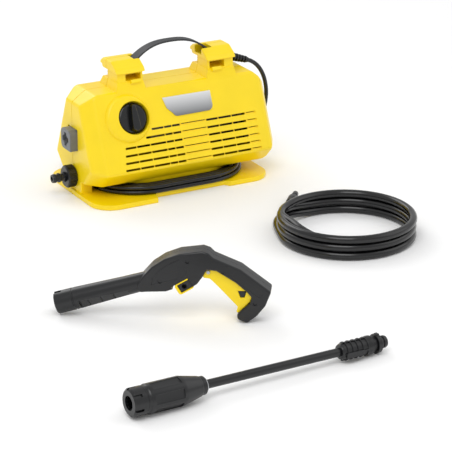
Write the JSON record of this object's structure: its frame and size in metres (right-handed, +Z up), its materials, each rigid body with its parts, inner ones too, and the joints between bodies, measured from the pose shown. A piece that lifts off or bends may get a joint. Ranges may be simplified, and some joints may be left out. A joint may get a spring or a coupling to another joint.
{
  "type": "pressure washer",
  "caption": "Compact yellow electric pressure washer with carry strap, rotary switch, wound mains cord, coiled hose, trigger gun and spray lance.",
  "frame": {"origin": "on the floor, under the middle of the carry strap, on the seam between the half shells", "axes": "+Z up, +X towards the end with the mains cord, -Y towards the front with the switch and slots"},
  "size_m": [0.6696, 0.9267, 0.232],
  "materials": {
    "casing_yellow": "satin moulded",
    "black_plastic": "fine-textured moulded",
    "grey_plastic": "satin moulded",
    "badge_silver": "satin",
    "strap_rubber": "matt moulded",
    "cord_rubber": "satin sheath",
    "hose_rubber": "glossy smooth",
    "steel": "ground",
    "iron": "laminated",
    "copper": "wound copper",
    "aluminium": "die cast",
    "brass": "turned",
    "fitting_plastic": "moulded with crimped sleeve",
    "filter_mesh": "woven mesh"
  },
  "bodies": {
    "machine": {"front_shell": "casing_yellow", "rear_shell": "casing_yellow", "carry_strap": "strap_rubber", "badge": "badge_silver", "rotary_switch": "black_plastic", "outlet_tube": "brass", "inlet_port": "black_plastic", "inlet_nipple": "black_plastic", "inlet_filter": "filter_mesh", "inlet_pipe": "cord_rubber", "motor_can": "iron", "stator_core": "iron", "motor_front_cap": "aluminium", "motor_rear_cap": "aluminium", "front_bearing": "steel", "rear_bearing": "steel", "pump_housing": "aluminium", "pump_head": "aluminium", "piston_1": "steel", "piston_2": "steel", "piston_3": "steel", "piston_spring_1": "steel", "piston_spring_2": "steel", "piston_spring_3": "steel", "unloader_valve": "brass", "capacitor": "grey_plastic", "strain_relief": "cord_rubber", "power_cord": "cord_rubber", "cord_winding": "cord_rubber", "cord_tail": "cord_rubber", "power_plug": "cord_rubber"},
    "switch_knob": {"switch_knob": "black_plastic"},
    "armature": {"motor_shaft": "steel", "rotor_core": "copper", "commutator": "copper", "cooling_fan": "black_plastic", "swash_plate": "steel"},
    "inlet_nut": {"inlet_nut": "black_plastic"},
    "outlet_collar": {"outlet_collar": "grey_plastic"},
    "hose": {"hose_coil": "hose_rubber", "hose_outer_end": "hose_rubber", "hose_inner_end": "hose_rubber", "hose_outlet_fitting": "fitting_plastic", "hose_gun_fitting": "fitting_plastic"},
    "gun": {"gun_left_shell": "black_plastic", "gun_right_shell": "black_plastic", "trigger_pin": "steel", "valve_body": "brass", "hose_socket": "black_plastic", "lance_socket": "brass"},
    "trigger": {"trigger": "casing_yellow"},
    "trigger_lock": {"trigger_lock": "black_plastic"},
    "valve_rod": {"valve_rod": "steel"},
    "hose_clip": {"hose_clip": "casing_yellow"},
    "lance": {"lance_tube": "black_plastic", "nozzle_insert": "brass", "neck_ring": "steel", "lance_adapter": "black_plastic", "bayonet_plug": "black_plastic"},
    "nozzle_head": {"nozzle_head": "black_plastic"}
  },
  "joints": [
    {"name": "switch_turn", "type": "hinge", "parent": "machine", "child": "switch_knob", "pos_m": [-0.094, -0.05261, 0.128], "axis": [0, -0.9235, 0.3835], "range_deg": [-90, 0]},
    {"name": "motor_spin", "type": "hinge", "parent": "machine", "child": "armature", "pos_m": [0, 0, 0.093], "axis": [1, 0, 0], "continuous": true},
    {"name": "inlet_nut_turn", "type": "hinge", "parent": "machine", "child": "inlet_nut", "pos_m": [-0.184, 0, 0.031], "axis": [1, 0, 0], "continuous": true},
    {"name": "outlet_collar_press", "type": "slide", "parent": "machine", "child": "outlet_collar", "axis": [1, 0, 0], "range_m": [0, 0.004], "stiffness_N_per_m": 400, "springref_m": -0.004},
    {"name": "hose_lift", "type": "slide", "parent": "machine", "child": "hose", "axis": [0, 0, 1], "range_m": [0, 0.25]},
    {"name": "gun_lift", "type": "slide", "parent": "machine", "child": "gun", "axis": [0, 0, 1], "range_m": [0, 0.25]},
    {"name": "lance_lift", "type": "slide", "parent": "machine", "child": "lance", "axis": [0, 0, 1], "range_m": [0, 0.25]},
    {"name": "trigger_squeeze", "type": "hinge", "parent": "gun", "child": "trigger", "pos_m": [-0.22052, -0.53915, 0.072], "axis": [-0.5541, -0.8324, 0], "range_deg": [0, 10], "stiffness_Nm_per_rad": 1, "springref_deg": -8.59},
    {"name": "trigger_lock_slide", "type": "slide", "parent": "trigger", "child": "trigger_lock", "axis": [-0.5541, -0.8324, 0], "range_m": [0, 0.0018]},
    {"name": "valve_rod_slide", "type": "slide", "parent": "gun", "child": "valve_rod", "axis": [-0.7969, 0.5305, -0.289], "range_m": [0, 0.0014]},
    {"name": "hose_clip_slide", "type": "slide", "parent": "gun", "child": "hose_clip", "axis": [-0.7059, 0.4699, -0.5299], "range_m": [0, 0.005]},
    {"name": "nozzle_head_turn", "type": "hinge", "parent": "lance", "child": "nozzle_head", "pos_m": [-0.455, -0.767, 0.02103], "axis": [0.9983, 0.0558, -0.0192], "range_deg": [0, 100]}
  ],
  "couplings": [
    {"joint": "valve_rod_slide", "follows": "trigger_squeeze", "m_per_rad": 0.0069}
  ]
}
